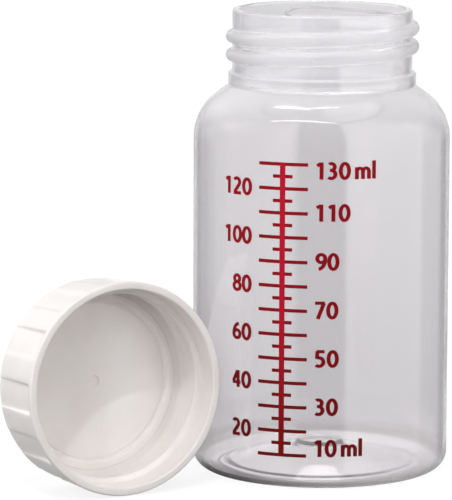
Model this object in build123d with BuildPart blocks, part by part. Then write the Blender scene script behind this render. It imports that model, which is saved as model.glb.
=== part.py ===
"""Wide-neck 130 ml feeding bottle with its one-piece screw cap standing beside it.

Two mouldings: a clear blown bottle with a screw-thread neck, and a white cap with grip pockets
outside and a matching thread inside. All sizes are in millimetres, +Z is up, and the origin is the
middle of the bottle's standing ring.
"""

import os
from math import atan2, cos, pi, radians, sin, sqrt, tan

from build123d import *

# Bottle body
body_diameter = 52.5
bottle_height = 95.0
wall = 0.8
heel_radius = 3.8
heel_chords = 3
standing_ring_width = 1.2
push_up_height = 3.8
gate_pit_diameter = 9.3
gate_pit_depth = 1.1
gate_pit_flank = 0.9
shoulder_radius = 11.0
shoulder_slope = 36.7
shoulder_chords = 4
inner_chords = 2

# Neck finish, with its heights counted down from the lip
neck_diameter = 36.8
neck_wall = 1.5
lip_chamfer = 0.45
neck_foot_drop = 15.0
collar_proud = 0.8
collar_drop = 15.4
collar_height = 2.6
collar_chamfer = 0.5

# Screw thread: a rounded bead on the neck, with a narrower ridge in the cap between its turns.
# Widths are taken along the axis, and both threads fade out over the same angle.
thread_pitch = 3.78
thread_height = 1.35
thread_drop = 2.7
thread_turns = 2.05
thread_start_angle = 112.0
thread_fade_angle = 9.0
thread_sunk_share = 0.75
bead_foot_width = 2.7
bead_shoulder_width = 2.0
bead_shoulder_height = 0.9
bead_crest_width = 0.9
ridge_foot_width = 1.6
ridge_crest_width = 0.8

# Cap
cap_height = 14.8
cap_wall = 1.0
cap_flare = 0.6
cap_edge_chamfer = 0.5
cap_panel_thickness = 1.1
cap_land_width = 3.25
cap_land_step = 0.5
cap_gate_mark_diameter = 2.0
cap_gate_mark_depth = 0.2
cap_lead_in = 0.7
cap_rim_chamfer = 0.35
cap_bore_foot_chamfer = 0.6
thread_crest_clearance = 0.2
thread_root_clearance = 0.3

# Grip pockets and the cap's own thread
pocket_count = 12
pocket_angle = 17.5
pocket_wall = 0.8
pocket_rim_band = 1.1
pocket_phase = 1.0
cap_ridge_drop = 3.4
cap_ridge_turns = 1.5
cap_ridge_foot_angle = 200.0

# Where the cap stands: the way its mouth looks, the gap between its rim and the bottle's side, and
# how far the rim stands in front of the bottle's axis that way
cap_facing = -58.7
cap_stand_gap = 1.28
cap_stand_lead = 6.5

# Heights and radii that follow
body_radius = body_diameter / 2
neck_radius = neck_diameter / 2
mouth_radius = neck_radius - neck_wall
collar_radius = neck_radius + collar_proud
collar_bottom = bottle_height - collar_drop
collar_top = collar_bottom + collar_height
neck_foot = bottle_height - neck_foot_drop
slope = radians(shoulder_slope)
ring_outer = body_radius - heel_radius
ring_inner = ring_outer - standing_ring_width
shoulder_centre_r = body_radius - shoulder_radius
shoulder_end_r = shoulder_centre_r + shoulder_radius * sin(slope)
shoulder_end_z = neck_foot - (shoulder_end_r - neck_radius) * tan(slope)
shoulder_centre_z = shoulder_end_z - shoulder_radius * cos(slope)
shoulder_centre = (shoulder_centre_r, shoulder_centre_z)
collar_foot_r = neck_radius + (neck_foot - collar_bottom) / tan(slope)


def floor_points(lift):
    """Underside or inside of the floor, from the axis out to the heel, raised by lift."""
    pit_radius = gate_pit_diameter / 2
    pit_top = push_up_height + gate_pit_depth + lift
    return [
        (0, pit_top),
        (pit_radius, pit_top),
        (pit_radius + gate_pit_flank, push_up_height + lift),
        (ring_inner, lift),
        (ring_outer, lift),
    ]


def chords(centre, radius, start_angle, end_angle, count):
    """Points along an arc that is drawn as a few straight chords."""
    angles = [radians(start_angle + (end_angle - start_angle) * i / count) for i in range(count + 1)]
    return [(centre[0] + radius * cos(a), centre[1] + radius * sin(a)) for a in angles]


def section_plane(radius, angle, height):
    """Plane square to the thread's helix at one of its points, with x away from the axis."""
    around = 2 * pi * radius
    return Plane(
        origin=(radius * cos(radians(angle)), radius * sin(radians(angle)), height),
        x_dir=(cos(radians(angle)), sin(radians(angle)), 0),
        z_dir=(-around * sin(radians(angle)), around * cos(radians(angle)), thread_pitch),
    )


def thread_outline(root, foot_width, *stations):
    """Corners of a thread's section, from its sunk root out to its crest and back.

    x runs away from the axis and is 0 at the wall that the thread stands on. Each station is a
    distance from that wall with the thread's width there, and the last one is the crest.
    """
    next_x, next_width = stations[0]
    root_width = foot_width + (foot_width - next_width) * abs(root / next_x)
    one_side = [(x, width / 2) for x, width in ((root, root_width), *stations)]
    return one_side + [(x, -y) for x, y in reversed(one_side)]


def thread_section(plane, outline, share=1.0):
    """A thread's section on its plane, shrunk towards its root to a share of its size."""
    root = outline[0][0]
    with BuildSketch(plane) as section:
        Polygon(*[(root + (x - root) * share, y * share) for x, y in outline], align=None)
    return section.sketch


def wind_thread(outline, radius, foot_angle, foot_height, turns):
    """Right-handed thread wound upwards from its foot, fading into the wall at both ends."""
    root = outline[0][0]
    crest = outline[len(outline) // 2][0]
    faded_share = thread_sunk_share * root / (root - crest)
    rise = thread_pitch * turns
    fade_rise = thread_pitch * thread_fade_angle / 360
    climb = Helix(thread_pitch, rise, radius, (0, 0, foot_height), mode=Mode.PRIVATE)
    foot = section_plane(radius, foot_angle, foot_height)
    sweep(thread_section(foot, outline), climb.rotate(Axis.Z, foot_angle), is_frenet=True)
    ends = ((foot_angle, foot_height, -1), (foot_angle + 360 * turns, foot_height + rise, 1))
    for angle, height, way in ends:
        end = section_plane(radius, angle, height)
        beyond = section_plane(radius, angle + way * thread_fade_angle, height + way * fade_rise)
        loft(
            [thread_section(end, outline), thread_section(beyond, outline, faded_share)],
            ruled=True,
        )


# Clear bottle: the outer form, the thread bead wound round the neck, then the hollow
with BuildPart() as bottle:
    with BuildSketch(Plane.XZ):
        Polygon(
            *floor_points(0),
            *chords((ring_outer, heel_radius), heel_radius, -90, 0, heel_chords)[1:],
            *chords(shoulder_centre, shoulder_radius, 0, 90 - shoulder_slope, shoulder_chords),
            (collar_foot_r, collar_bottom),
            (collar_radius, collar_bottom),
            (collar_radius, collar_top),
            (neck_radius, collar_top),
            (neck_radius, bottle_height),
            (0, bottle_height),
            align=None,
        )
    revolve(axis=Axis.Z)
    rims = bottle.edges().filter_by(GeomType.CIRCLE)
    collar_rims = rims.filter_by(lambda e: abs(e.radius - collar_radius) < 0.01)
    chamfer(collar_rims.sort_by(Axis.Z)[-1], collar_chamfer)

    # The bead is wound up to its start, which lies just under the lip
    wind_thread(
        thread_outline(
            -neck_wall / 2,
            bead_foot_width,
            (bead_shoulder_height, bead_shoulder_width),
            (thread_height, bead_crest_width),
        ),
        neck_radius,
        thread_start_angle - 360 * thread_turns,
        bottle_height - thread_drop - thread_pitch * thread_turns,
        thread_turns,
    )

    # Hollow, one wall inside the outer form, opening into the straight mouth
    inner_shoulder = chords(
        shoulder_centre, shoulder_radius - wall, 0, 90 - shoulder_slope, inner_chords
    )
    inner_end_r, inner_end_z = inner_shoulder[-1]
    mouth_foot = inner_end_z + (inner_end_r - mouth_radius) * tan(slope)
    with BuildSketch(Plane.XZ):
        Polygon(
            *floor_points(wall),
            (body_radius - wall, heel_radius),
            *inner_shoulder,
            (mouth_radius, mouth_foot),
            (mouth_radius, bottle_height),
            (0, bottle_height),
            align=None,
        )
    revolve(axis=Axis.Z, mode=Mode.SUBTRACT)
    chamfer(bottle.edges().filter_by(GeomType.CIRCLE).group_by(Axis.Z)[-1], lip_chamfer)
bottle.part.label = "bottle"

# White cap, built open side up on its closed face and then set down on its skirt
bore_radius = neck_radius + thread_height + thread_crest_clearance
top_radius = bore_radius + cap_wall
rim_radius = top_radius + cap_flare
pocket_floor_radius = bore_radius + pocket_wall
panel_radius = bore_radius - cap_land_width - cap_land_step
land_z = cap_panel_thickness + cap_land_step
ridge_root = pocket_wall / 2
ridge_crest = neck_radius + thread_root_clearance - bore_radius
with BuildPart() as cap:
    with BuildSketch(Plane.XZ):
        Polygon(
            (0, 0),
            (top_radius, 0),
            (rim_radius, cap_height),
            (0, cap_height),
            align=None,
        )
    revolve(axis=Axis.Z)
    closed_edge = cap.edges().filter_by(GeomType.CIRCLE).sort_by(Axis.Z)[0]
    chamfer(closed_edge, cap_edge_chamfer)

    # Grip pockets, open towards the closed face and ending short of the rim
    half_pocket = radians(pocket_angle / 2)
    pocket_reach = 2 * rim_radius
    with BuildSketch(Plane.XY):
        with PolarLocations(0, pocket_count, start_angle=pocket_phase):
            Polygon(
                (0, 0),
                (pocket_reach * cos(half_pocket), -pocket_reach * sin(half_pocket)),
                (pocket_reach * cos(half_pocket), pocket_reach * sin(half_pocket)),
                align=None,
            )
        Circle(pocket_floor_radius, mode=Mode.SUBTRACT)
    extrude(amount=cap_height - pocket_rim_band, mode=Mode.SUBTRACT)

    # Cavity: panel, ramp up to the sealing land, straight bore and lead-in
    with BuildSketch(Plane.XZ):
        Polygon(
            (0, cap_panel_thickness),
            (panel_radius, cap_panel_thickness),
            (panel_radius + cap_land_step, land_z),
            (bore_radius, land_z),
            (bore_radius, cap_height - cap_lead_in),
            (bore_radius + cap_lead_in, cap_height),
            (0, cap_height),
            align=None,
        )
    revolve(axis=Axis.Z, mode=Mode.SUBTRACT)
    rings = cap.edges().filter_by(GeomType.CIRCLE)
    chamfer(rings.group_by(Axis.Z)[-1].sort_by(SortBy.RADIUS)[-1], cap_rim_chamfer)
    bore_rings = rings.filter_by(lambda e: abs(e.radius - bore_radius) < 0.01)
    chamfer(bore_rings.sort_by(Axis.Z)[0], cap_bore_foot_chamfer)
    with BuildSketch(Plane.XY.offset(cap_panel_thickness)):
        Circle(cap_gate_mark_diameter / 2)
    extrude(amount=-cap_gate_mark_depth, mode=Mode.SUBTRACT)

    # Thread ridge that runs between the turns of the neck's bead
    wind_thread(
        thread_outline(ridge_root, ridge_foot_width, (ridge_crest, ridge_crest_width)),
        bore_radius,
        cap_ridge_foot_angle,
        cap_height - cap_ridge_drop - thread_pitch * cap_ridge_turns,
        cap_ridge_turns,
    )

# The skirt is a cone, so the cap lies on a straight line of it, tilted by half the cone's angle
skirt_slope = atan2(rim_radius - top_radius, cap_height)
facing = radians(cap_facing)
ahead = Vector(cos(facing), sin(facing), 0)
aside = Vector(sin(facing), -cos(facing), 0)
up = Vector(0, 0, 1)
mouth_way = ahead * cos(skirt_slope) + up * sin(skirt_slope)
cap_from_bottle = body_radius + cap_stand_gap + rim_radius
rim_middle = aside * cap_from_bottle + ahead * cap_stand_lead + up * rim_radius * cos(skirt_slope)
cap_stand = Plane(rim_middle - mouth_way * cap_height, x_dir=aside, z_dir=mouth_way)
cap.part.locate(cap_stand.location)
cap.part.label = "cap"

os.makedirs("parts", exist_ok=True)
export_step(bottle.part, "parts/bottle.step")
export_step(cap.part, "parts/cap.step")
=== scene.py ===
"""Looks of a clear 130 ml feeding bottle and the white screw cap that stands open beside it.

Each piece is built at full size over the CAD body that it rides on. Sizes are fields in
millimetres, meshes are in metres, +Z is up and the bottle stands on the origin.
"""

from __future__ import annotations

import logging
import math
from dataclasses import dataclass
from enum import Enum
from functools import partial
from typing import Any, Callable

import bmesh
import bpy
from mathutils import Matrix, Vector

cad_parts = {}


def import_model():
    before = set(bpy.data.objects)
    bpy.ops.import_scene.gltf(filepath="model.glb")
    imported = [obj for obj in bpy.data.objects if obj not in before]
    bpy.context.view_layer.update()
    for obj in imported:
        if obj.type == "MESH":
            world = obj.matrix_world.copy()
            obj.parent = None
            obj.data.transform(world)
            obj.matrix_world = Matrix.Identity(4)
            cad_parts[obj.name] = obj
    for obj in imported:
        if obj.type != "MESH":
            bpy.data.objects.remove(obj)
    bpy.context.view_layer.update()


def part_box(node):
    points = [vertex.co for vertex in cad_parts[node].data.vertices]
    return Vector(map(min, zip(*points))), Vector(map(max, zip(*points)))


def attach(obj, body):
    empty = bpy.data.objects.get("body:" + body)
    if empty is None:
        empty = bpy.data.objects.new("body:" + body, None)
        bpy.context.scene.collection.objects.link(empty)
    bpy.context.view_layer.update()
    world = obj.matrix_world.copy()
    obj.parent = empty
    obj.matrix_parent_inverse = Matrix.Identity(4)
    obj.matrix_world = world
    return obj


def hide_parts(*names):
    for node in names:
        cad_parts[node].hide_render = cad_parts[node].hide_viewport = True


LOG = logging.getLogger("feeding_bottle")
MM = 0.001
# Lengths in millimetres: a shorter run is left out, and nearer places count as the same.
NO_LENGTH = 1e-6
SAME_PLACE = 1e-4
# Column angles are kept to so many digits, so that equal ones meet.
ANGLE_DIGITS = 4

Point = tuple[float, float]
Triple = tuple[float, float, float]
Relief = Callable[[float, float, float], float]
NodeMaker = Callable[..., bpy.types.Node]


class Ray(Enum):
    """Kinds of ray that a surface or the surround may answer differently."""

    CAMERA = "Is Camera Ray"
    GLOSSY = "Is Glossy Ray"
    TRANSMISSION = "Is Transmission Ray"
    SHADOW = "Is Shadow Ray"
    MIRRORED = "Glossy Depth"

    def of(self, rays: bpy.types.Node) -> bpy.types.NodeSocket:
        """Socket of a Light Path node that tells this kind."""
        return rays.outputs[self.value]


# --- Outlines and turned meshes ---------------------------------------------------------------


@dataclass(frozen=True)
class Corner:
    """A corner of a turned outline, in millimetres, and the longest step of the run after it."""

    radius: float
    height: float
    rounding: float = 0.0
    step: float = 6.0


def smooth_step(share: float) -> float:
    """Eases from 0 to 1 as share goes from 0 to 1."""
    share = min(max(share, 0.0), 1.0)
    return share * share * (3.0 - 2.0 * share)


def turned_outline(corners: list[Corner], arc_step: float = 9.0) -> list[Point]:
    """Draws an outline through corners, rounding each one by its own radius.

    Args:
        corners: Corners in order, the first and last ones sharp.
        arc_step: Longest step along a rounding, in degrees.

    Returns:
        Points of radius and height, in millimetres.
    """
    places = [Vector((c.radius, c.height)) for c in corners]
    turns = [0.0] * len(corners)
    wanted = [0.0] * len(corners)
    for i in range(1, len(corners) - 1):
        turns[i] = math.pi - (places[i - 1] - places[i]).angle(places[i + 1] - places[i])
        wanted[i] = corners[i].rounding * math.tan(turns[i] / 2.0)
    points: list[Point] = [tuple(places[0])]
    for i in range(1, len(corners) - 1):
        here = places[i]
        if wanted[i] < SAME_PLACE:
            run_to(points, (here.x, here.y), corners[i - 1].step)
            continue
        back, ahead = places[i - 1] - here, places[i + 1] - here
        reach = min(
            wanted[i],
            back.length * wanted[i] / (wanted[i] + wanted[i - 1]),
            ahead.length * wanted[i] / (wanted[i] + wanted[i + 1]),
        )
        radius = reach / math.tan(turns[i] / 2.0)
        start = here + back.normalized() * reach
        inward = (back.normalized() + ahead.normalized()).normalized()
        centre = here + inward * (radius / math.cos(turns[i] / 2.0))
        run_to(points, (start.x, start.y), corners[i - 1].step)
        arm = start - centre
        way = 1.0 if back.cross(arm) > 0.0 else -1.0
        steps = max(2, math.ceil(math.degrees(turns[i]) / arc_step))
        for k in range(1, steps + 1):
            swung = Matrix.Rotation(way * turns[i] * k / steps, 2) @ arm
            points.append((centre.x + swung.x, centre.y + swung.y))
    run_to(points, (places[-1].x, places[-1].y), corners[-2].step)
    return points


def run_to(points: list[Point], end: Point, step: float) -> None:
    """Adds a straight run to an outline.

    Args:
        points: Outline that the run joins, in millimetres.
        end: Where the run ends.
        step: Longest step along it.
    """
    start = points[-1]
    length = math.dist(start, end)
    if length < NO_LENGTH:
        return
    count = max(1, math.ceil(length / step))
    for i in range(1, count + 1):
        share = i / count
        points.append(tuple(a + (b - a) * share for a, b in zip(start, end)))


def turned_mesh(
    name: str, outline: list[Point], angles: list[float], relief: Relief
) -> bpy.types.Mesh:
    """Turns an outline round the Z axis, pushing its points in or out by a relief.

    Args:
        name: Name of the mesh.
        outline: Points of radius and height, in millimetres, from the axis back to the axis.
        angles: Angles of the columns, in degrees, rising.
        relief: Radial offset in millimetres at an angle, a radius and a height.

    Returns:
        A closed, smooth-shaded mesh in metres.
    """
    form = bmesh.new()
    rows: list[list[bmesh.types.BMVert]] = []
    for radius, height in outline:
        if radius < NO_LENGTH:
            rows.append([form.verts.new((0.0, 0.0, height * MM))])
            continue
        row = []
        for angle in angles:
            pushed = radius + relief(angle, radius, height)
            turn = math.radians(angle)
            place = (pushed * math.cos(turn) * MM, pushed * math.sin(turn) * MM, height * MM)
            row.append(form.verts.new(place))
        rows.append(row)
    count = len(angles)
    for low, high in zip(rows, rows[1:]):
        for i in range(count):
            j = (i + 1) % count
            ring = [low[i % len(low)], low[j % len(low)], high[j % len(high)], high[i % len(high)]]
            corners = list(dict.fromkeys(ring))
            if len(corners) > 2:
                form.faces.new(corners).smooth = True
    bmesh.ops.recalc_face_normals(form, faces=form.faces)
    mesh = bpy.data.meshes.new(name)
    form.to_mesh(mesh)
    form.free()
    return mesh


def new_piece(mesh: bpy.types.Mesh, material: bpy.types.Material) -> bpy.types.Object:
    """Makes a scene object of a mesh, with one material.

    Args:
        mesh: Its mesh, which gives it its name.
        material: Its material.

    Returns:
        The object, linked to the scene.
    """
    piece = bpy.data.objects.new(mesh.name, mesh)
    mesh.materials.append(material)
    bpy.context.scene.collection.objects.link(piece)
    return piece


# --- Colours and shader nodes -----------------------------------------------------------------


def linear(hex_colour: str) -> tuple[float, float, float, float]:
    """Turns an sRGB colour to linear light.

    Args:
        hex_colour: Its red, green and blue, such as "f4f1ec".

    Returns:
        Linear red, green and blue, and an alpha of 1.
    """
    values = [int(hex_colour[i : i + 2], 16) / 255.0 for i in (0, 2, 4)]
    red, green, blue = (
        v / 12.92 if v <= 0.04045 else ((v + 0.055) / 1.055) ** 2.4 for v in values
    )
    return red, green, blue, 1.0


def span(ends: Point, levels: tuple[Any, Any] = (0.0, 1.0)) -> dict[str, Any]:
    """Settings and links that run from one level to another between two places.

    Args:
        ends: The two places, in millimetres.
        levels: The two levels, each a number, or the node or socket that gives it.

    Returns:
        What a node that maps a place to a level is given.
    """
    names = ("From Min", "From Max", "To Min", "To Max")
    return dict(zip(names, (ends[0] * MM, ends[1] * MM, *levels)))


def add_node(
    tree: bpy.types.NodeTree, kind: str, given: dict[str, Any] | None = None
) -> bpy.types.Node:
    """Adds a shader node with its settings and links.

    Args:
        tree: Tree that the node joins.
        kind: Name of the node's type, without its first word, ShaderNode.
        given: What it is given, by the name of a setting, or the name or number of an input.
            A socket is linked to the input, and a node is linked by its first output.

    Returns:
        The new node.
    """
    node = tree.nodes.new(f"ShaderNode{kind}")
    for key, value in (given or {}).items():
        place = int(key) if key.isdigit() else key
        if isinstance(value, bpy.types.Node):
            value = value.outputs[0]
        if isinstance(value, bpy.types.NodeSocket):
            tree.links.new(value, node.inputs[place])
        elif key.isdigit() or key in node.inputs:
            node.inputs[place].default_value = value
        else:
            setattr(node, key, value)
    return node


def new_material(name: str) -> tuple[bpy.types.Material, NodeMaker]:
    """Makes an empty node material.

    Args:
        name: Name of the material.

    Returns:
        The material, and add_node for its own tree.
    """
    material = bpy.data.materials.new(name)
    material.use_nodes = True
    material.node_tree.nodes.clear()
    return material, partial(add_node, material.node_tree)


@dataclass(frozen=True)
class ClearPolypropylene:
    """Clarified polypropylene, blown in a polished mould: glassy, faintly milky and grey.

    The wall is not quite even, so it bends what is seen through it in slow waves. The neck's
    thick thread is milkier, and fine slanting scratches dull the heel it stands on. How clear
    and how rough it is goes by body, neck and thread.
    """

    body_tint: str = "fbf9fb"
    neck_tint: str = "fbfafc"
    lamp_tint: str = "e6e4e6"
    ior: float = 1.49
    clear: Triple = (0.95, 0.8, 0.77)
    roughness: Triple = (0.05, 0.12, 0.36)
    scuff_roughness: float = 0.22
    neck_mm: Point = (73.0, 78.5)
    above_collar_mm: Point = (82.3, 83.0)
    thread_mm: Point = (18.45, 18.9)
    wave_mm: float = 14.0
    wave_depth_mm: float = 0.10
    wave_strength: float = 0.6
    wave_roughness: float = 0.4
    scuff_rise_mm: Point = (3.6, 2.2)
    scuff_side_mm: Point = (4.0, 14.0)
    # Real scratches are finer. They are drawn this coarse to show.
    scratch_mm: float = 0.45
    scratch_depth_mm: float = 0.03
    scratch_slant: float = 0.7
    scratch_stretch: float = 0.12

    def material(self) -> bpy.types.Material:
        """Builds the clear wall, which lets lamps shine through to what it holds.

        Returns:
            The material.
        """
        material, add = new_material("clarified_polypropylene")
        place = add("TexCoord").outputs["Object"]
        parts = add("SeparateXYZ", {"Vector": place}).outputs
        level = add("VectorMath", {"operation": "MULTIPLY", "0": place, "1": (1.0, 1.0, 0.0)})
        radius = add("VectorMath", {"operation": "LENGTH", "0": level}).outputs["Value"]
        neck = add(
            "MapRange",
            {"interpolation_type": "SMOOTHSTEP", "Value": parts["Z"], **span(self.neck_mm)},
        )
        above_collar = add("MapRange", {"Value": parts["Z"], **span(self.above_collar_mm)})
        thread = add("MapRange", {"Value": radius, **span(self.thread_mm, (0.0, above_collar))})
        clear, smooth = (
            add(
                "MapRange",
                {
                    "Value": neck,
                    "To Min": in_body,
                    "To Max": add(
                        "MapRange", {"Value": thread, "To Min": in_neck, "To Max": in_thread}
                    ),
                },
            )
            for in_body, in_neck, in_thread in (self.clear, self.roughness)
        )
        side = add("MapRange", {"Value": parts["X"], **span(self.scuff_side_mm)})
        scuffed = add("MapRange", {"Value": parts["Z"], **span(self.scuff_rise_mm, (0.0, side))})
        wave = add(
            "TexNoise",
            {
                "Vector": place,
                "Scale": 1.0 / (self.wave_mm * MM),
                "Detail": 1.0,
                "Roughness": self.wave_roughness,
            },
        )
        waves = add(
            "Bump",
            {"Height": wave, "Strength": self.wave_strength, "Distance": self.wave_depth_mm * MM},
        )
        slanted = add(
            "Mapping",
            {
                "Vector": place,
                "Rotation": (0.0, self.scratch_slant, 0.0),
                "Scale": (1.0, 1.0, self.scratch_stretch),
            },
        )
        scratch = add(
            "TexNoise", {"Vector": slanted, "Scale": 1.0 / (self.scratch_mm * MM), "Detail": 2.0}
        )
        relief = add(
            "Bump",
            {
                "Height": scratch,
                "Strength": scuffed,
                "Distance": self.scratch_depth_mm * MM,
                "Normal": waves,
            },
        )
        wall = add(
            "BsdfPrincipled",
            {
                "Base Color": add(
                    "MixRGB",
                    {
                        "Fac": neck,
                        "Color1": linear(self.body_tint),
                        "Color2": linear(self.neck_tint),
                    },
                ),
                "IOR": self.ior,
                "Roughness": add(
                    "MapRange",
                    {"Value": scuffed, "To Min": smooth, "To Max": self.scuff_roughness},
                ),
                "Normal": relief,
                "Transmission Weight": clear,
            },
        )
        lamp_way = add("BsdfTransparent", {"Color": linear(self.lamp_tint)})
        shadow = Ray.SHADOW.of(add("LightPath"))
        mix = add("MixShader", {"0": shadow, "1": wall, "2": lamp_way})
        add("OutputMaterial", {"Surface": mix})
        return material


@dataclass(frozen=True)
class WhitePolypropylene:
    """White-filled polypropylene, injection moulded: waxy gloss over a soft, deep white."""

    colour: str = "f5f1ef"
    shade_colour: str = "f0ebe8"
    ior: float = 1.49
    roughness: float = 0.3
    depth_share: float = 0.25
    depth_colour: Triple = (1.0, 0.9, 0.8)
    depth_mm: float = 0.8
    cloud_mm: float = 9.0
    cloud_ends: Point = (0.35, 0.65)
    # The mould's skin is finer. It is drawn this coarse to show.
    skin_mm: float = 0.35
    skin_depth_mm: float = 0.02
    skin_strength: float = 0.15

    def material(self) -> bpy.types.Material:
        """Builds the moulded white, with faint flow clouding and a fine skin texture.

        Returns:
            The material.
        """
        material, add = new_material("white_moulded_polypropylene")
        place = add("TexCoord").outputs["Object"]
        cloud, skin = (
            add("TexNoise", {"Vector": place, "Scale": 1.0 / (size * MM), "Detail": detail})
            for size, detail in ((self.cloud_mm, 3.0), (self.skin_mm, 2.0))
        )
        tone = add("ValToRGB", {"Fac": cloud})
        stops = zip(tone.color_ramp.elements, self.cloud_ends, (self.shade_colour, self.colour))
        for stop, at, colour in stops:
            stop.position = at
            stop.color = linear(colour)
        bump = add(
            "Bump",
            {"Height": skin, "Strength": self.skin_strength, "Distance": self.skin_depth_mm * MM},
        )
        body = add(
            "BsdfPrincipled",
            {
                "Base Color": tone,
                "Normal": bump,
                "Roughness": self.roughness,
                "IOR": self.ior,
                "Subsurface Weight": self.depth_share,
                "Subsurface Radius": self.depth_colour,
                "Subsurface Scale": self.depth_mm * MM,
            },
        )
        add("OutputMaterial", {"Surface": body})
        return material


@dataclass(frozen=True)
class ScreenInk:
    """Red screen-printing ink, cured on the wall: an even, nearly matt film.

    Its colour darkens towards the bottle's foot: painted shade, where less light falls low on the
    wall.
    """

    name: str
    # Painted shade: the ink's colours from top to foot, darker low down where less light falls.
    top_colour: str
    middle_colour: str
    foot_colour: str
    foot_mm: float = 12.0
    middle_mm: float = 34.0
    top_mm: float = 66.0
    ior: float = 1.5
    roughness: float = 0.5
    sheen_level: float = 0.12
    # The printing mesh is finer. Its grain is drawn this coarse to show.
    mesh_mm: float = 0.4
    mesh_depth_mm: float = 0.02
    mesh_strength: float = 0.3

    def material(self) -> bpy.types.Material:
        """Builds the ink, with the faint grain that the printing mesh leaves.

        Returns:
            The material.
        """
        material, add = new_material(self.name)
        place = add("TexCoord").outputs["Object"]
        parts = add("SeparateXYZ", {"Vector": place}).outputs
        # Colour by height is painted shade, darker towards the foot.
        height = add("MapRange", {"Value": parts["Z"], **span((self.foot_mm, self.top_mm))})
        colour = add("ValToRGB", {"Fac": height})
        stops = colour.color_ramp.elements
        stops[0].color = linear(self.foot_colour)
        stops[1].color = linear(self.top_colour)
        middle = stops.new((self.middle_mm - self.foot_mm) / (self.top_mm - self.foot_mm))
        middle.color = linear(self.middle_colour)
        grain = add(
            "TexNoise", {"Vector": place, "Scale": 1.0 / (self.mesh_mm * MM), "Detail": 1.0}
        )
        bump = add(
            "Bump",
            {"Height": grain, "Strength": self.mesh_strength, "Distance": self.mesh_depth_mm * MM},
        )
        film = add(
            "BsdfPrincipled",
            {
                "Base Color": colour,
                "Normal": bump,
                "Roughness": self.roughness,
                "IOR": self.ior,
                "Specular IOR Level": self.sheen_level,
            },
        )
        add("OutputMaterial", {"Surface": film})
        return material


# --- The bottle -------------------------------------------------------------------------------


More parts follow.
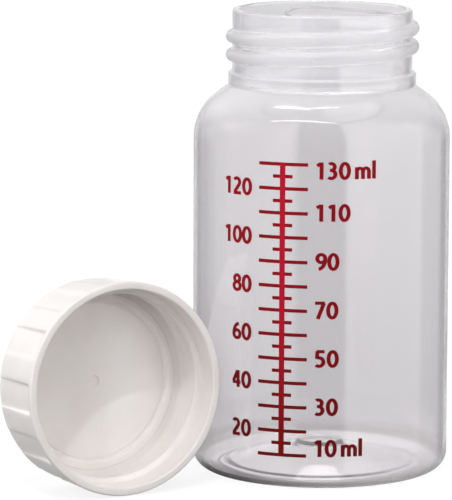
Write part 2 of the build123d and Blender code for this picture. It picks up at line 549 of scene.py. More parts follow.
@dataclass
class ScrewBottle:
    """The blown bottle: body, shoulder, collar, threaded neck and open mouth, as one closed wall.

    Radii are the outside's, but for the mouth's. Angles are in degrees from the right, rising to
    the back.
    """

    body_radius: float
    height: float
    wall: float = 0.8
    heel: float = 3.8
    standing_ring: float = 1.2
    push_up: float = 3.8
    floor_knee: float = 0.62
    floor_bend: float = 26.0
    gate_pit_radius: float = 4.65
    gate_pit_depth: float = 1.1
    gate_pit_flank: float = 0.5
    insert_insets: Point = (2.05, 0.75)
    insert_width: float = 0.3
    insert_depth: float = 0.08
    shoulder: float = 11.0
    shoulder_slope: float = 36.7
    neck_radius: float = 18.4
    mouth_radius: float = 16.9
    mouth_bend: float = 1.6
    lip_rounding: float = 0.6
    neck_foot_drop: float = 15.0
    collar_radius: float = 19.2
    collar_drop: float = 15.4
    collar_height: float = 2.6
    bead_radius: float = 1.35
    bead_fillet: float = 0.35
    least_bead: float = 0.05
    pitch: float = 3.78
    thread_drop: float = 2.7
    thread_turns: float = 2.05
    thread_start: float = 108.0
    start_fade: float = 11.0
    foot_fade: float = 34.0
    seam_angle: float = -95.7
    seam_width: float = 0.28
    seam_height: float = 0.07
    seam_body_share: float = 0.35
    arc_step: float = 6.0
    columns: int = 288
    seam_column_step: float = 0.25
    seam_columns: int = 5
    least_column_gap: float = 0.2

    @property
    def slope(self) -> float:
        """Slope of the shoulder's straight part, in radians."""
        return math.radians(self.shoulder_slope)

    @property
    def ring_inner(self) -> float:
        """Inner radius of the ring that the bottle stands on."""
        return self.body_radius - self.heel - self.standing_ring

    @property
    def collar_bottom(self) -> float:
        """Height of the collar's underside."""
        return self.height - self.collar_drop

    @property
    def neck_foot(self) -> float:
        """Height at which the shoulder's slope would meet the neck."""
        return self.height - self.neck_foot_drop

    def floor(self, lift: float) -> list[Corner]:
        """Corners of one side of the pushed-up floor, from the axis out.

        Args:
            lift: Height of this side over the underside, which is 0 for the underside itself.

        Returns:
            The corners, with the mould's insert lines in the underside.
        """
        top = self.push_up + lift
        pit = self.gate_pit_radius
        knee = self.floor_knee
        return [
            Corner(0.0, top + self.gate_pit_depth, 0.0, 1.5),
            Corner(pit, top + self.gate_pit_depth, 0.5, 0.6),
            Corner(pit + self.gate_pit_flank, top, 0.5, 2.0),
            Corner(self.ring_inner * knee, self.push_up * knee + lift, self.floor_bend, 2.0),
            *([] if lift else self.insert_lines()),
            Corner(self.ring_inner, lift, 1.0, 1.0),
        ]

    def insert_lines(self) -> list[Corner]:
        """Corners of the fine grooves that the mould's base insert leaves in the underside.

        Returns:
            Three sharp corners for each groove.
        """
        slope = self.push_up * self.floor_knee / (self.ring_inner * (1.0 - self.floor_knee))
        half = self.insert_width / 2.0
        corners = []
        for inset in self.insert_insets:
            for offset, cut in ((-half, 0.0), (0.0, self.insert_depth), (half, 0.0)):
                rise = (inset - offset) * slope
                corners.append(Corner(self.ring_inner - inset + offset, rise + cut, 0.0, 0.3))
        return corners

    def outline(self) -> list[Point]:
        """Outline of the whole wall, from the axis under the floor, up, over the lip and back.

        Returns:
            Points of radius and height, in millimetres.
        """
        run = math.tan(self.slope)
        top_of_side = self.neck_foot - (self.body_radius - self.neck_radius) * run
        collar_foot = self.neck_radius + (self.neck_foot - self.collar_bottom) / run
        collar_top = self.collar_bottom + self.collar_height
        inner_side = self.body_radius - self.wall
        wall_rise = self.wall / math.cos(self.slope)
        inner_top = top_of_side + self.wall * run - wall_rise
        mouth_foot = self.neck_foot + (self.neck_radius - self.mouth_radius) * run - wall_rise
        corners = [
            *self.floor(0.0),
            Corner(self.body_radius, 0.0, self.heel, 4.0),
            Corner(self.body_radius, top_of_side, self.shoulder, 1.5),
            Corner(collar_foot, self.collar_bottom, 0.25, 0.3),
            Corner(self.collar_radius, self.collar_bottom, 0.25, 0.5),
            Corner(self.collar_radius, collar_top, 0.75, 0.3),
            Corner(self.neck_radius, collar_top, 0.4, 0.15),
            Corner(self.neck_radius, self.height, self.lip_rounding, 0.5),
            Corner(self.mouth_radius, self.height, self.lip_rounding, 1.0),
            Corner(self.mouth_radius, mouth_foot, self.mouth_bend, 1.5),
            Corner(inner_side, inner_top, self.shoulder - self.wall, 4.0),
            Corner(inner_side, self.wall, self.heel - self.wall, 1.0),
            *reversed(self.floor(self.wall)),
        ]
        return turned_outline(corners, self.arc_step)

    def bead(self, angle: float, height: float) -> float:
        """How far the thread's bead stands out of the neck.

        Args:
            angle: Angle of the place.
            height: Its height.

        Returns:
            Height of the bead there, over whichever of its turns is nearest.
        """
        top = self.height - self.thread_drop
        end = self.thread_start + self.start_fade
        first = self.thread_start - 360.0 * self.thread_turns
        best = 0.0
        lap = angle - 360.0 * math.ceil((angle - end) / 360.0)
        while lap > first - self.foot_fade:
            centre = top - self.pitch * (self.thread_start - lap) / 360.0
            fade = smooth_step((end - lap) / self.start_fade)
            fade *= smooth_step((lap - first + self.foot_fade) / self.foot_fade)
            best = max(best, self.bead_section(abs(height - centre), fade))
            lap -= 360.0
        return best

    def bead_section(self, away: float, fade: float) -> float:
        """Height of the bead's round section, with a small fillet at its foot.

        Args:
            away: How far the place is from the bead's middle.
            fade: Share of its full size that the bead has there.

        Returns:
            Height over the neck.
        """
        radius = self.bead_radius * fade
        if radius < self.least_bead:
            return 0.0
        crown = math.sqrt(max(0.0, radius**2 - away**2))
        fillet = min(self.bead_fillet, radius)
        beyond = away - radius
        foot = 0.0
        if -fillet < beyond < fillet:
            foot = fillet - math.sqrt(fillet**2 - (fillet - beyond) ** 2) if beyond > 0 else fillet
        return max(crown, foot)

    def seam(self, angle: float) -> float:
        """Height of the mould's parting line, which runs up both sides of the bottle.

        Args:
            angle: Angle of the place.

        Returns:
            Height over the wall, in millimetres.
        """
        off = (angle - self.seam_angle + 90.0) % 180.0 - 90.0
        across = math.radians(off) * self.neck_radius / (self.seam_width / 2.0)
        return self.seam_height * math.exp(-across * across)

    def relief(self, angle: float, radius: float, height: float) -> float:
        """Radial offset of the outer surface: thread bead and parting line.

        Args:
            angle: Angle of the place.
            radius: Radius of the plain outline there.
            height: Height of the place.

        Returns:
            How far the surface stands out, which is 0 on the inside.
        """
        if height > self.height - self.lip_rounding or radius < self.neck_radius - SAME_PLACE:
            return 0.0
        line = self.seam(angle) * (1.0 if height > self.collar_bottom else self.seam_body_share)
        if height < self.collar_bottom + self.collar_height:
            return line if height > self.heel else 0.0
        return line + self.bead(angle, height)

    def angles(self) -> list[float]:
        """Column angles: even ones, with a close bundle over each parting line.

        Returns:
            The angles, rising.
        """
        step = 360.0 / self.columns
        even = {round(i * step, ANGLE_DIGITS) for i in range(self.columns)}
        close = {
            round((self.seam_angle + side + offset * self.seam_column_step) % 360.0, ANGLE_DIGITS)
            for side in (0.0, 180.0)
            for offset in range(-self.seam_columns, self.seam_columns + 1)
        }
        gap = self.least_column_gap
        kept = [a for a in even if all(abs((a - c + 180) % 360 - 180) > gap for c in close)]
        return sorted(kept + list(close))

    def build(self, finish: ClearPolypropylene) -> bpy.types.Object:
        """Builds the bottle as one clear piece."""
        mesh = turned_mesh("bottle_wall", self.outline(), self.angles(), self.relief)
        return new_piece(mesh, finish.material())


# --- The printed scale ------------------------------------------------------------------------


@dataclass(frozen=True)
class Bow:
    """Part of an ellipse in a figure's stroke, in shares of the figure's height."""

    x: float
    y: float
    across: float
    up: float
    start: float
    end: float

    def points(self, step: float = 12.0) -> list[Point]:
        """Points along the bow.

        Args:
            step: Longest step between them, in degrees.

        Returns:
            The points, from the start angle to the end angle.
        """
        count = max(2, math.ceil(abs(self.end - self.start) / step))
        degrees = (self.start + (self.end - self.start) * i / count for i in range(count + 1))
        turns = (math.radians(d) for d in degrees)
        return [(self.x + self.across * math.cos(t), self.y + self.up * math.sin(t)) for t in turns]

    def turned(self, x: float, y: float) -> Bow:
        """The bow turned half round about a point."""
        ends = (self.start + 180.0, self.end + 180.0)
        return Bow(2.0 * x - self.x, 2.0 * y - self.y, self.across, self.up, *ends)


Stroke = tuple[Point | Bow, ...]

SIX: tuple[Stroke, ...] = (
    (Bow(0.335, 0.302, 0.225, 0.234, 90.0, 450.0),),
    (Bow(0.53, 0.36, 0.42, 0.572, 180.0, 97.0),),
)

# Middle lines of the strokes of a plain, open, half-bold letter.
FIGURES: dict[str, tuple[Stroke, ...]] = {
    "0": ((Bow(0.335, 0.5, 0.237, 0.432, 90.0, 450.0),),),
    "1": (((0.385, 0.0), (0.385, 1.0)), ((0.125, 0.8), (0.36, 0.94))),
    "2": (
        (Bow(0.285, 0.7, 0.205, 0.232, 150.0, -30.0), (0.36, 0.44), (0.115, 0.1)),
        ((0.045, 0.068), (0.6, 0.068)),
    ),
    "3": (
        (Bow(0.255, 0.736, 0.185, 0.196, 135.0, -90.0), (0.16, 0.54)),
        ((0.16, 0.54), Bow(0.25, 0.304, 0.232, 0.236, 90.0, -135.0)),
    ),
    "4": (
        ((0.44, 0.0), (0.44, 1.0)),
        ((0.4, 0.97), (0.085, 0.33)),
        ((0.03, 0.29), (0.62, 0.29)),
    ),
    "5": (
        ((0.555, 0.932), (0.115, 0.932)),
        ((0.15, 0.96), (0.125, 0.5)),
        (Bow(0.24, 0.32, 0.25, 0.252, 118.0, -135.0),),
    ),
    "6": SIX,
    "7": (((0.035, 0.932), (0.6, 0.932)), ((0.545, 0.94), (0.2, 0.0))),
    "8": (
        (Bow(0.335, 0.737, 0.19, 0.195, 90.0, 450.0),),
        (Bow(0.335, 0.3, 0.232, 0.232, 90.0, 450.0),),
    ),
    "9": tuple(tuple(bow.turned(0.335, 0.5) for bow in stroke) for stroke in SIX),
    "m": (
        ((0.08, 0.0), (0.08, 0.7)),
        (Bow(0.26, 0.42, 0.18, 0.212, 180.0, 0.0), (0.44, 0.0)),
        (Bow(0.62, 0.42, 0.18, 0.212, 180.0, 0.0), (0.8, 0.0)),
    ),
    "l": (((0.08, 0.0), (0.08, 1.06)),),
    " ": (),
}
ADVANCES: dict[str, float] = {"m": 1.03, "l": 0.16, " ": 0.263}


@dataclass
class PrintedScale:
    """Millilitre scale printed on the bottle: a line, its marks and generic numbers.

    Angles are in degrees from the front, rising to the right.
    """

    wall_radius: float
    film: float = 0.04
    stroke_step: float = 0.004
    foot_height: float = 7.22
    mark_step: float = 4.917
    mark_volume: int = 10
    mark_count: int = 13
    line_angle: float = -17.1
    line_width: float = 1.15
    mark_thickness: float = 0.7
    long_mark_angles: Point = (-28.2, -5.8)
    short_mark_length: float = 4.1
    right_angle: float = -2.4
    left_angle: float = -31.75
    right_lift: float = 0.2
    left_lift: float = -0.08
    figure_height: float = 3.45
    figure_advance: float = 0.687
    figure_stretch: float = 1.02
    stem_half: float = 0.116
    bar_half: float = 0.098
    unit: str = "ml"
    cut_step: float = 0.7

    @property
    def full_volume(self) -> int:
        """Volume at the highest mark, in millilitres."""
        return self.mark_volume * self.mark_count

    def along(self, angle: float) -> float:
        """Distance along the wall from the front, in millimetres."""
        return math.radians(angle) * self.wall_radius

    def mark_height(self, volume: int) -> float:
        """Height of the mark for a volume in millilitres."""
        return self.foot_height + self.mark_step * (volume - self.mark_volume) / self.mark_volume

    def line(self) -> bmesh.types.BMesh:
        """Draws the upright line.

        Returns:
            Its flat form.
        """
        sides = (self.line_width / 2.0, self.mark_thickness / 2.0)
        middle = self.along(self.line_angle)
        low = (middle - sides[0], self.foot_height - sides[1])
        high = (middle + sides[0], self.mark_height(self.full_volume) + sides[1])
        form = bmesh.new()
        self.add_bar(form, low, high, self.film + self.stroke_step)
        return form

    def marks(self) -> bmesh.types.BMesh:
        """Draws the long marks, one for each number, and the short ones between them.

        Returns:
            Their flat form.
        """
        form = bmesh.new()
        middle = self.along(self.line_angle)
        reach = self.short_mark_length / 2.0
        long_sides = [self.along(a) for a in self.long_mark_angles]
        short_sides = [middle - reach, middle + reach]
        half = self.mark_thickness / 2.0
        for i in range(2 * self.mark_count - 1):
            height = self.foot_height + self.mark_step * i / 2.0
            left, right = short_sides if i % 2 else long_sides
            self.add_bar(form, (left, height - half), (right, height + half), self.film)
        return form

    @staticmethod
    def add_bar(form: bmesh.types.BMesh, low: Point, high: Point, film: float) -> None:
        """Adds a flat rectangle between two corners, standing off the wall by the film."""
        corners = (low, (high[0], low[1]), high, (low[0], high[1]))
        form.faces.new([form.verts.new((x, y, film)) for x, y in corners])

    def add_stroke(
        self, form: bmesh.types.BMesh, stroke: Stroke, x: float, y: float, film: float
    ) -> None:
        """Adds a ribbon along one stroke of a figure.

        Args:
            form: Flat form that the ribbon joins.
            stroke: Middle line of the stroke.
            x: Left side of the figure, in millimetres along the wall.
            y: Foot of the figure, in millimetres.
            film: How far the ribbon stands off the wall.
        """
        path: list[Point] = []
        for part in stroke:
            path.extend(part.points() if isinstance(part, Bow) else [part])
        closed = math.dist(path[0], path[-1]) < NO_LENGTH
        sides: list[list[bmesh.types.BMVert]] = []
        for i, (px, py) in enumerate(path):
            before = path[i - 1] if i else (path[-2] if closed else path[0])
            after = path[i + 1] if i + 1 < len(path) else (path[1] if closed else path[-1])
            run = Vector((after[0] - before[0], after[1] - before[1])).normalized()
            across = Vector((-run.y * self.stem_half, run.x * self.bar_half))
            pair = []
            for side in (1.0, -1.0):
                right = x + (px + side * across.x) * self.figure_height * self.figure_stretch
                up = y + (py + side * across.y) * self.figure_height
                pair.append(form.verts.new((right, up, film)))
            sides.append(pair)
        for low, high in zip(sides, sides[1:]):
            form.faces.new((low[0], low[1], high[1], high[0]))

    def add_text(self, form: bmesh.types.BMesh, text: str, volume: int, to_right: bool) -> None:
        """Adds one number, its ink ending or starting in line with its column.

        Args:
            form: Flat form that the number joins.
            text: What it says.
            volume: Volume that it stands at, in millilitres.
            to_right: Whether it stands right of the line.
        """
        flat = bmesh.new()
        at = 0.0
        foot = self.mark_height(volume) - self.figure_height / 2.0
        if volume == self.full_volume:
            foot = self.mark_height(volume) + self.mark_thickness / 2.0 - self.figure_height
        if volume == self.mark_volume:
            foot = self.mark_height(volume) - self.mark_thickness / 2.0
        foot += self.right_lift if to_right else self.left_lift
        for letter in text:
            for layer, stroke in enumerate(FIGURES[letter]):
                self.add_stroke(flat, stroke, at, foot, self.film + layer * self.stroke_step)
            advance = ADVANCES.get(letter, self.figure_advance)
            at += advance * self.figure_height * self.figure_stretch
        ends = [v.co.x for v in flat.verts]
        shift = self.along(self.left_angle) - max(ends)
        if to_right:
            shift = self.along(self.right_angle) - min(ends)
        for vert in flat.verts:
            vert.co.x += shift
        part = bpy.data.meshes.new("figure")
        flat.to_mesh(part)
        flat.free()
        form.from_mesh(part)
        bpy.data.meshes.remove(part)

    def numbers(self) -> bmesh.types.BMesh:
        """Draws the numbers, odd tens on the right and even tens on the left.

        Returns:
            Their flat form.
        """
        form = bmesh.new()
        for i in range(self.mark_count):
            volume = self.mark_volume * (i + 1)
            ended = volume in (self.mark_volume, self.full_volume)
            text = f"{volume} {self.unit}" if ended else str(volume)
            self.add_text(form, text, volume, i % 2 == 0)
        return form

    def wrap(self, form: bmesh.types.BMesh, name: str) -> bpy.types.Mesh:
        """Cuts a flat print into narrow strips and lays it round the wall.

        Args:
            form: The flat print, which is used up.
            name: Name of the mesh.

        Returns:
            A smooth-shaded mesh in metres.
        """
        left = min(v.co.x for v in form.verts)
        right = max(v.co.x for v in form.verts)
        for i in range(1, int((right - left) / self.cut_step) + 1):
            bmesh.ops.bisect_plane(
                form,
                geom=form.verts[:] + form.edges[:] + form.faces[:],
                plane_co=(left + i * self.cut_step, 0.0, 0.0),
                plane_no=(1.0, 0.0, 0.0),
            )
        for vert in form.verts:
            turn = vert.co.x / self.wall_radius
            out = self.wall_radius + vert.co.z
            place = (out * math.sin(turn) * MM, -out * math.cos(turn) * MM, vert.co.y * MM)
            vert.co = Vector(place)
        for face in form.faces:
            face.smooth = True
        mesh = bpy.data.meshes.new(name)
        form.to_mesh(mesh)
        form.free()
        return mesh

    def build(self, full: ScreenInk, thin: ScreenInk) -> list[bpy.types.Object]:
        """Builds the line, its marks and the numbers, as three thin printed pieces.

        Args:
            full: Ink of the wide line.
            thin: Ink of the marks and numbers.

        Returns:
            The printed pieces.
        """
        thin_ink = thin.material()
        return [
            new_piece(self.wrap(self.line(), "scale_line"), full.material()),
            new_piece(self.wrap(self.marks(), "scale_marks"), thin_ink),
            new_piece(self.wrap(self.numbers(), "scale_numbers"), thin_ink),
        ]


# --- The cap ----------------------------------------------------------------------------------


@dataclass
class ScrewCap:
    """The white cap: fluted skirt, rim, threaded bore, sealing land and panel.

    It is drawn with the panel's outer face at height 0 and its open rim at the top, and angles
    are in degrees round its own axis, but for the way that it faces, which is from the right.
    """

    height: float = 14.8
    top_radius: float = 20.95
    rim_radius: float = 21.55
    top_rounding: float = 0.6
    rim_rounding: float = 0.35
    panel: float = 1.1
    panel_radius: float = 15.8
    land_step: float = 0.5
    moat_width: float = 0.4
    moat_depth: float = 0.18
    moat_flank: float = 0.15
    seal_inner: float = 16.65
    seal_outer: float = 17.95
    seal_height: float = 0.22
    seal_flank: float = 0.12
    bore_radius: float = 19.95
    lead_in: float = 0.25
    pockets: int = 12
    pocket_width: float = 17.5
    pocket_phase: float = 1.0
    pocket_floor: float = 20.75
    pocket_flank: float = 1.7
    pocket_end: float = 0.5
    rim_band: float = 1.1
    ridge_height: float = 1.25
    ridge_foot: float = 0.68
    ridge_crest: float = 0.32
    ridge_drop: float = 3.4
    ridge_turns: float = 1.5
    ridge_start: float = 200.0
    ridge_fade: float = 16.0
    pitch: float = 3.78
    gate_radius: float = 1.2
    gate_floor_radius: float = 0.84
    gate_depth: float = 0.3
    facing: float = -58.7
    arc_step: float = 12.0
    flank_columns: int = 5
    floor_columns: int = 4
    rib_columns: int = 3

    def outline(self) -> list[Point]:
        """Outline from the axis outside, round the skirt and rim, and back down the bore.

        Returns:
            Points of radius and height, in millimetres.
        """
        land = self.panel + self.land_step
        seal_top = land + self.seal_height
        moat_floor = self.panel - self.moat_depth
        moat_inner = self.panel_radius + self.moat_flank
        gate_floor = self.panel - self.gate_depth
        corners = [
            Corner(0.0, 0.0, 0.0, 3.0),
            Corner(self.top_radius, 0.0, self.top_rounding, 0.5),
            Corner(self.rim_radius, self.height, self.rim_rounding, 0.5),
            Corner(self.bore_radius + self.lead_in, self.height, 0.2, 0.2),
            Corner(self.bore_radius, self.height - self.lead_in, 0.2, 0.14),
            Corner(self.bore_radius, land, 0.5, 0.6),
            Corner(self.seal_outer + self.seal_flank, land, 0.12, 0.2),
            Corner(self.seal_outer, seal_top, 0.15, 0.4),
            Corner(self.seal_inner, seal_top, 0.2, 0.3),
            Corner(moat_inner + self.moat_width, moat_floor, 0.12, 0.2),
            Corner(moat_inner, moat_floor, 0.12, 0.2),
            Corner(self.panel_radius, self.panel, 0.2, 1.2),
            Corner(self.gate_radius, self.panel, 0.15, 0.2),
            Corner(self.gate_floor_radius, gate_floor, 0.3, 0.3),
            Corner(0.0, gate_floor),
        ]
        return turned_outline(corners, self.arc_step)

    def pocket(self, angle: float) -> float:
        """Depth of the skirt's shallow pockets, with eased flanks.

        Args:
            angle: Angle of the place.

        Returns:
            Share of the full depth.
        """
        period = 360.0 / self.pockets
        off = abs((angle - self.pocket_phase + period / 2.0) % period - period / 2.0)
        return smooth_step((self.pocket_width / 2.0 - off) / self.pocket_flank)

    def ridge(self, angle: float, height: float) -> float:
        """How far the cap's own thread stands into the bore.

        Args:
            angle: Angle of the place.
            height: Its height.

        Returns:
            Height of the ridge there, over whichever of its turns is nearest.
        """
        sweep = 360.0 * self.ridge_turns
        foot = self.height - self.ridge_drop - self.pitch * self.ridge_turns
        best = 0.0
        lap = (angle - self.ridge_start + self.ridge_fade) % 360.0 - self.ridge_fade
        while lap < sweep + self.ridge_fade:
            fade = smooth_step((lap + self.ridge_fade) / self.ridge_fade)
            fade *= smooth_step((sweep + self.ridge_fade - lap) / self.ridge_fade)
            away = abs(height - foot - self.pitch * lap / 360.0)
            flank = (self.ridge_foot - away) / (self.ridge_foot - self.ridge_crest)
            best = max(best, fade * self.ridge_height * smooth_step(flank))
            lap += 360.0
        return best

    def relief(self, angle: float, radius: float, height: float) -> float:
        """Radial offset: pockets outside and the thread inside.

        Args:
            angle: Angle of the place.
            radius: Radius of the plain outline there.
            height: Height of the place.

        Returns:
            How far the surface moves out.
        """
        if abs(radius - self.bore_radius) < SAME_PLACE:
            return -self.ridge(angle, height)
        if radius < self.pocket_floor:
            return 0.0
        end = (self.height - self.rim_band - height) / self.pocket_end
        return -(radius - self.pocket_floor) * self.pocket(angle) * smooth_step(end)

    def angles(self) -> list[float]:
        """Column angles, close together over the pockets' flanks.

        Returns:
            The angles, rising.
        """
        period = 360.0 / self.pockets
        half = self.pocket_width / 2.0
        inner = half - self.pocket_flank
        on_flank, on_floor, on_rib = self.flank_columns, self.floor_columns, self.rib_columns
        flank = [half - self.pocket_flank * (i / on_flank) for i in range(on_flank + 1)]
        floor = [inner * (i / on_floor) for i in range(1 - on_floor, on_floor)]
        rib = [half + (period / 2.0 - half) * (i / on_rib) for i in range(1, on_rib + 1)]
        one = [*(-f for f in flank), *floor, *flank, *rib, *(-r for r in rib[:-1])]
        turned = {
            round((self.pocket_phase + period * n + round(a, ANGLE_DIGITS)) % 360.0, ANGLE_DIGITS)
            for n in range(self.pockets)
            for a in one
        }
        return sorted(turned)

    def build(self, finish: WhitePolypropylene, low: Vector, high: Vector) -> bpy.types.Object:
        """Builds the cap and stands it on its skirt in the middle of its CAD box.

        Args:
            finish: The cap's plastic.
            low: Lowest corner of the CAD node's box, in metres.
            high: Highest corner of that box.

        Returns:
            The cap, in place.
        """
        mesh = turned_mesh("cap_shell", self.outline(), self.angles(), self.relief)
        lean = math.atan2(self.rim_radius - self.top_radius, self.height)
        face = math.radians(self.facing)
        out = Vector(
            (math.cos(face) * math.cos(lean), math.sin(face) * math.cos(lean), math.sin(lean))
        )
        side = Vector((math.sin(face), -math.cos(face), 0.0))
        mesh.transform(Matrix((side, out.cross(side), out)).transposed().to_4x4())
        places = [v.co for v in mesh.vertices]
        shift = [
            (low[i] + high[i]) / 2.0 - (min(p[i] for p in places) + max(p[i] for p in places)) / 2.0
            for i in (0, 1)
        ]
        shift.append(low.z - min(p.z for p in places))
        mesh.transform(Matrix.Translation(shift))
        return new_piece(mesh, finish.material())


# --- The studio -------------------------------------------------------------------------------


@dataclass(frozen=True)
class Lamp:
    """A lamp: the way it lies from the object, its distance and size in metres, and its power.

    A plain softbox lights matt surfaces, and gloss doesn't mirror it. A mirrored one shows only
    as a highlight on gloss, so it never adds light to a matt white. One that is seen through
    shines through clear walls as well.
    """

    name: str
    way: Triple
    side: Triple
    distance: float
    width: float
    height: float
    power: float
    mirrored: bool = True
    seen_through: bool = False

    def build(self, target: Vector) -> None:
        """Builds the lamp as an area light.

        Args:
            target: Point that it looks at, in metres.
        """
        light = bpy.data.lights.new(self.name, "AREA")
        light.shape = "ELLIPSE"
        light.size = self.width
        light.size_y = self.height
        light.energy = self.power
        lamp = bpy.data.objects.new(self.name, light)
        way = Vector(self.way).normalized()
        up = way.cross(Vector(self.side)).normalized()
        turned = Matrix((up.cross(way), up, way)).transposed().to_4x4()
        lamp.matrix_world = Matrix.Translation(target + way * self.distance) @ turned
        lamp.visible_camera = False
        lamp.visible_glossy = self.mirrored
        lamp.visible_diffuse = not self.mirrored
        lamp.visible_transmission = self.seen_through
        bpy.context.scene.collection.objects.link(lamp)


@dataclass(frozen=True)
class PanelRing:
    """Panels round the table at one rise, the sine of the angle above level.

    Each level stands at an angle in degrees from the front, rising to the right.
    """

    rise: float
    levels: tuple[Point, ...]


@dataclass
class Studio:
    """White floor, a surround of softboxes and gaps, small lamps and the camera.

    Lamps, half the floor's side and the camera's clip are in metres, other places in
    millimetres and the camera's angles in radians. The foot is the patch of floor under the
    bottle and close round it.
    """

    lamps: tuple[Lamp, ...] = (
        Lamp("key_softbox", (-0.146, -0.598, 0.8), (1, 0, 0), 1.4, 0.05, 0.05, 4.1, False),
        Lamp("left_fill", (-0.95, -0.28, 0.2), (0, 0, 1), 1.2, 0.6, 0.6, 4.0, False),
        Lamp("front_fill", (-0.5, -0.86, 0.06), (0, 0, 1), 1.2, 0.6, 0.6, 4.0, False),
        Lamp("right_fill", (0.72, -0.68, 0.12), (0, 0, 1), 1.2, 0.8, 0.8, 3.6, False),
        Lamp("front_strip", (-0.223, -0.463, 0.858), (0.84, -0.27, 0.06), 1.3, 1.25, 0.07, 2.5),
        Lamp("overhead_strip", (-0.262, 0.098, 0.96), (0.33, -0.26, 0.06), 1.3, 0.45, 0.11, 1.55),
        Lamp("overhead_tail", (-0.012, 0.046, 0.999), (0.36, 0.1, 0.0), 1.3, 0.44, 0.05, 0.6),
        Lamp("rear_window", (0.0, 0.675, 0.738), (1, 0, 0), 1.3, 0.24, 0.36, 0.6, True, True),
    )
    white: str = "ffffff"
    floor_half: float = 3.0
    floor_drop: float = 0.2
    floor_colour: str = "484848"
    floor_seen_colour: str = "8c8c8c"
    floor_glow: float = 0.82
    # Painted light and shade, seen only in gloss and through clear walls: a glowing patch under the
    # foot, darker to the left, and painted shadow round the heel, darkest at the front left and
    # lighter behind.
    foot_glow_colour: str = "fffdfb"
    foot_behind: float = 7.5
    foot_squeeze: Point = (1.338, 1.14)
    foot_wide_from: Point = (0.0, 5.0)
    foot_rim: Point = (28.0, 29.0)
    foot_light: Point = (0.69, 0.82)
    heel_dark: Point = (0.05, 0.43)
    foot_sides: Point = (-16.0, 16.0)
    behind_light: float = 0.47
    behind_from: Point = (-8.0, 6.0)
    foot_edge: Point = (36.0, 46.0)
    # What clear walls show of the surround: a level at each rise.
    backdrop: tuple[Point, ...] = (
        *((-0.5, 0.8), (-0.3, 0.66), (-0.2, 0.56), (-0.165, 0.6), (-0.125, 0.62)),
        *((-0.112, 0.65), (-0.104, 0.64), (-0.096, 0.5), (0.0, 0.68), (0.5, 0.88)),
    )
    surround: float = 0.65
    rings: tuple[PanelRing, ...] = (
        PanelRing(-0.45, ((-180, 0.8), (-110, 0.4), (-30, 0.7), (60, 1.2), (160, 1.2), (180, 0.8))),
        PanelRing(
            -0.2,
            (
                *((-180, 0.75), (-156, 0.7), (-146, 0.1), (-114, 0.1), (-109, 0.35), (-60, 0.4)),
                *((-31, 0.55), (-23, 0.1), (20, 0.1), (25, 1.25), (100, 1.25), (106, 0.8)),
                *((132, 0.6), (138, 0.25), (149, 0.25), (154, 0.65), (180, 0.75)),
            ),
        ),
        PanelRing(
            -0.12,
            (
                *((-180, 0.8), (-156, 0.7), (-146, 0.2), (-114, 0.2), (-109, 0.55), (-60, 0.65)),
                *((-31, 1.1), (-23, 0.1), (20, 0.1), (25, 2.0), (100, 1.9), (106, 1.1)),
                *((132, 0.9), (138, 0.25), (149, 0.25), (154, 0.7), (180, 0.8)),
            ),
        ),
        PanelRing(
            0.2,
            (
                *((-180, 1.0), (-150, 0.8), (-125, 0.8), (-109, 0.6), (-60, 0.5), (-31, 1.0)),
                *((-23, 0.1), (20, 0.1), (25, 2.0), (100, 1.9), (125, 0.9), (150, 0.8), (180, 1.0)),
            ),
        ),
        PanelRing(
            0.4,
            (
                *((-180, 0.5), (-120, 1.5), (-100, 1.5), (-70, 0.5), (-31, 1.0), (-23, 0.1)),
                *((20, 0.1), (25, 2.0), (100, 2.0), (120, 1.5), (180, 0.5)),
            ),
        ),
        PanelRing(
            0.8,
            (
                *((-180, 0.8), (-90, 1.4), (-50, 0.4), (-31, 0.9), (-23, 0.1)),
                *((20, 0.1), (25, 1.8), (60, 1.8), (180, 0.8)),
            ),
        ),
        PanelRing(0.845, ((-180, 1.0), (-90, 0.5), (0, 0.1), (60, 0.8), (180, 1.0))),
        PanelRing(0.87, ((-180, 1.2), (-60, 0.9), (0, 1.0), (40, 2.1), (120, 2.1), (180, 1.2))),
    )
    camera_distance: float = 831.19
    camera_height: float = 174.09
    camera_pitch: float = 0.1541
    camera_yaw: float = -0.0235
    camera_roll: float = 0.0039
    lens: float = 294.13
    sensor_width: float = 36.0
    clip_from: float = 0.05
    clip_to: float = 20.0

    def floor(self) -> bpy.types.Object:
        """Builds the pale floor, which keeps a soft shadow.

        It glows to white for the eye. To gloss and clear walls it shows only what lies under
        and close round the bottle: a glowing patch inside its foot, painted light for what falls
        through the bottle onto the table, and painted shadow round its heel.

        Returns:
            The floor.
        """
        material, add = new_material("studio_floor")
        rays = add("LightPath")
        seen = Ray.CAMERA.of(rays)
        bent = add(
            "Math",
            {"operation": "MAXIMUM", "0": Ray.GLOSSY.of(rays), "1": Ray.TRANSMISSION.of(rays)},
        )
        colours = {
            "Color1": linear(self.floor_colour),
            "Color2": linear(self.floor_seen_colour),
        }
        matt = add("BsdfDiffuse", {"Color": add("MixRGB", {"Fac": seen, **colours})})
        dark = add("Emission", {"Strength": 0.0})
        glow = add("Emission", {"Color": linear(self.white), "Strength": self.floor_glow})
        shown = add("MixShader", {"0": seen, "1": dark, "2": glow})
        direct = add("AddShader", {"0": matt, "1": shown})

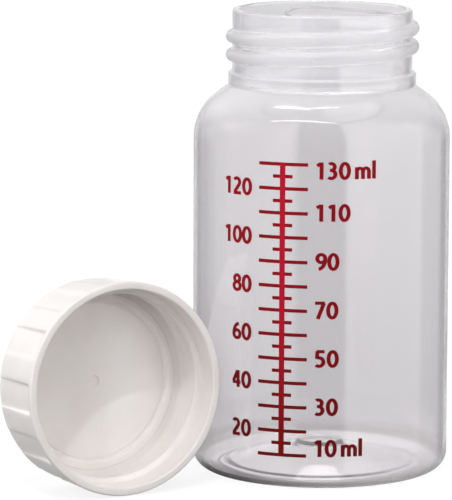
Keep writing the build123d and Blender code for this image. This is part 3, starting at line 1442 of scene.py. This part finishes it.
        place = add("TexCoord").outputs["Object"]
        parts = add("SeparateXYZ", {"Vector": place}).outputs
        widening = add(
            "MapRange", {"Value": parts["Y"], **span(self.foot_wide_from, self.foot_squeeze)}
        )
        centre = (0.0, self.foot_behind * MM, 0.0)
        shifted = add("VectorMath", {"operation": "SUBTRACT", "0": place, "1": centre})
        squeeze = add("CombineXYZ", {"X": widening, "Y": 1.0})
        squeezed = add("VectorMath", {"operation": "MULTIPLY", "0": shifted, "1": squeeze})
        away = add("VectorMath", {"operation": "LENGTH", "0": squeezed}).outputs["Value"]
        # Painted light inside the foot's rim and painted shadow outside it, each varying from left
        # to right.
        lit, heel = (
            add("MapRange", {"Value": parts["X"], **span(self.foot_sides, levels)})
            for levels in (self.foot_light, self.heel_dark)
        )
        beyond = add(
            "MapRange", {"Value": parts["Y"], **span(self.behind_from, (heel, self.behind_light))}
        )
        ring = add("MapRange", {"Value": away, **span(self.foot_rim, (lit, beyond))})
        patch = add("Emission", {"Color": linear(self.foot_glow_colour), "Strength": ring})
        cover = add("MapRange", {"Value": away, **span(self.foot_edge)})
        mirrored = add("MixShader", {"0": cover, "1": patch, "2": add("BsdfTransparent")})
        total = add("MixShader", {"0": bent, "1": direct, "2": mirrored})
        add("OutputMaterial", {"Surface": total})

        half = self.floor_half
        corners = [(-half, -half, 0.0), (half, -half, 0.0), (half, half, 0.0), (-half, half, 0.0)]
        mesh = bpy.data.meshes.new("studio_floor")
        mesh.from_pydata(corners, [], [(0, 1, 2, 3)])
        floor = new_piece(mesh, material)
        floor.location.z = -self.floor_drop * MM
        return floor

    @staticmethod
    def curve_light(
        add: NodeMaker, levels: tuple[Point, ...], share: bpy.types.Node
    ) -> bpy.types.Node:
        """Light that follows levels set at places along a share from 0 to 1.

        Args:
            add: Maker of the tree's nodes.
            levels: Pairs of place and level, the first and last places at shares 0 and 1.
            share: Node that gives the share.

        Returns:
            Node that gives the light.
        """
        first, last = levels[0][0], levels[-1][0]
        brightest = max(level for _, level in levels)
        ramp = add("FloatCurve", {"Value": share})
        curve = ramp.mapping.curves[0]
        for _ in levels[2:]:
            curve.points.new(0.5, 0.5)
        for point, (place, level) in zip(curve.points, levels):
            point.location = ((place - first) / (last - first), level / brightest)
            point.handle_type = "VECTOR"
        ramp.mapping.update()
        return add("Math", {"operation": "MULTIPLY", "0": ramp, "1": brightest})

    def panel_light(self, add: NodeMaker, parts: bpy.types.NodeOutputs) -> bpy.types.Node:
        """Brightness of the panels round the table.

        Args:
            add: Maker of the tree's nodes.
            parts: Sockets of the X, Y and Z parts of a ray's way.

        Returns:
            Node that gives the light.
        """
        front = add("Math", {"operation": "MULTIPLY", "0": parts["Y"], "1": -1.0})
        turn = add("Math", {"operation": "ARCTAN2", "0": parts["X"], "1": front})
        share = add("MapRange", {"Value": turn, "From Min": -math.pi, "From Max": math.pi})
        low = self.rings[0]
        light = self.curve_light(add, low.levels, share)
        for ring in self.rings[1:]:
            light = add(
                "MapRange",
                {
                    "Value": parts["Z"],
                    "From Min": low.rise,
                    "From Max": ring.rise,
                    "To Min": light,
                    "To Max": self.curve_light(add, ring.levels, share),
                },
            )
            low = ring
        return light

    def world(self) -> None:
        """Sets the surround: white to the eye, a grey backdrop through clear walls.

        Whatever a wall mirrors shows the panels, and soft light falls on everything else.
        """
        world = bpy.data.worlds.new("studio_surround")
        world.use_nodes = True
        world.node_tree.nodes.clear()
        add = partial(add_node, world.node_tree)
        rays = add("LightPath")
        parts = add("SeparateXYZ", {"Vector": add("TexCoord").outputs["Generated"]}).outputs
        ends = {"From Min": self.backdrop[0][0], "From Max": self.backdrop[-1][0]}
        rise = add("MapRange", {"Value": parts["Z"], **ends})
        light: float | bpy.types.Node = self.surround
        for ray, level in (
            (Ray.TRANSMISSION, self.curve_light(add, self.backdrop, rise)),
            (Ray.MIRRORED, self.panel_light(add, parts)),
            (Ray.CAMERA, 1.0),
        ):
            light = add("MapRange", {"Value": ray.of(rays), "To Min": light, "To Max": level})
        surround = add("Background", {"Color": linear(self.white), "Strength": light})
        add("OutputWorld", {"Surface": surround})
        bpy.context.scene.world = world

    def camera(self) -> None:
        """Sets the camera, which stands higher than the bottle and looks slightly down on it."""
        pitch, yaw, roll = self.camera_pitch, self.camera_yaw, self.camera_roll
        forward = Vector(
            (math.sin(yaw) * math.cos(pitch), math.cos(yaw) * math.cos(pitch), -math.sin(pitch))
        )
        right = Vector((math.cos(yaw), -math.sin(yaw), 0.0))
        up = right.cross(forward)
        tilted_right = right * math.cos(roll) + up * math.sin(roll)
        tilted_up = up * math.cos(roll) - right * math.sin(roll)
        view = bpy.data.cameras.new("studio_camera")
        view.lens = self.lens
        view.sensor_width = self.sensor_width
        view.clip_start = self.clip_from
        view.clip_end = self.clip_to
        camera = bpy.data.objects.new("studio_camera", view)
        turned = Matrix((tilted_right, tilted_up, -forward)).transposed().to_4x4()
        place = Vector((0.0, -self.camera_distance * MM, self.camera_height * MM))
        camera.matrix_world = Matrix.Translation(place) @ turned
        bpy.context.scene.collection.objects.link(camera)
        bpy.context.scene.camera = camera

    def build(self, target: Vector) -> bpy.types.Object:
        """Builds the whole studio.

        Args:
            target: Point that the lamps look at, in metres.

        Returns:
            The floor.
        """
        for lamp in self.lamps:
            lamp.build(target)
        self.world()
        self.camera()
        bpy.context.scene.view_settings.view_transform = "Standard"
        return self.floor()


# --- The whole scene --------------------------------------------------------------------------


def main() -> None:
    """Builds the dressed bottle, its cap and the studio, and reports each piece."""
    logging.basicConfig(level=logging.INFO, format="%(message)s")
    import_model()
    low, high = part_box("bottle")
    bottle = ScrewBottle(body_radius=(high.x - low.x) / 2.0 / MM, height=(high.z - low.z) / MM)
    wall = bottle.build(ClearPolypropylene())
    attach(wall, "bottle")
    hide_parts("bottle")
    LOG.info("bottle wall: %d faces", len(wall.data.polygons))

    scale = PrintedScale(wall_radius=bottle.body_radius)
    full = ScreenInk("red_screen_ink_full", "bc122e", "b6112b", "7e0a09")
    thin = ScreenInk("red_screen_ink_thin", "950d1b", "870b15", "6b0909")
    for printed in scale.build(full, thin):
        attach(printed, "bottle")
        LOG.info("%s: %d faces", printed.name, len(printed.data.polygons))

    shell = ScrewCap().build(WhitePolypropylene(), *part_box("cap"))
    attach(shell, "cap")
    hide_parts("cap")
    LOG.info("cap shell: %d faces", len(shell.data.polygons))

    Studio().build(Vector((0.0, 0.0, bottle.height * MM / 2.0)))


if __name__ == "__main__":
    main()
